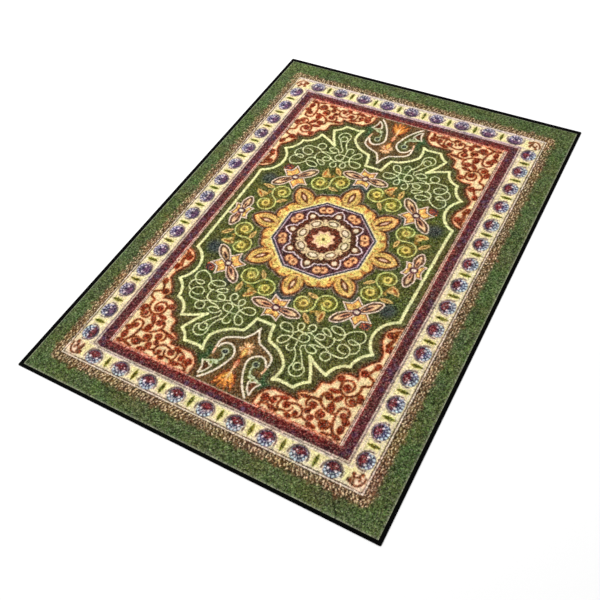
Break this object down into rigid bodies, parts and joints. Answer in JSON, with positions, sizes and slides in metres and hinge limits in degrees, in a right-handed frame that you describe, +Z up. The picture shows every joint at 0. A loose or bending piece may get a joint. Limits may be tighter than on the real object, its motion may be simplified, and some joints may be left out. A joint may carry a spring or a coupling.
{
  "type": "entrance mat",
  "caption": "Rectangular entrance mat lying flat: cut-pile carpet with a printed medallion and border pattern, bonded to a black rubber backing that shows as a thin edge all round.",
  "frame": {"origin": "middle of the underside, on the floor", "axes": "+Z up through the pile, +Y along the long side, +X along the short side"},
  "size_m": [0.85, 1.2, 0.005],
  "materials": {
    "printed_pile": "matte cut pile, dyed in a printed pattern",
    "black_rubber": "matte moulded rubber"
  },
  "bodies": {
    "root": {"carpet_panel": "printed_pile", "rubber_backing": "black_rubber"}
  },
  "joints": []
}
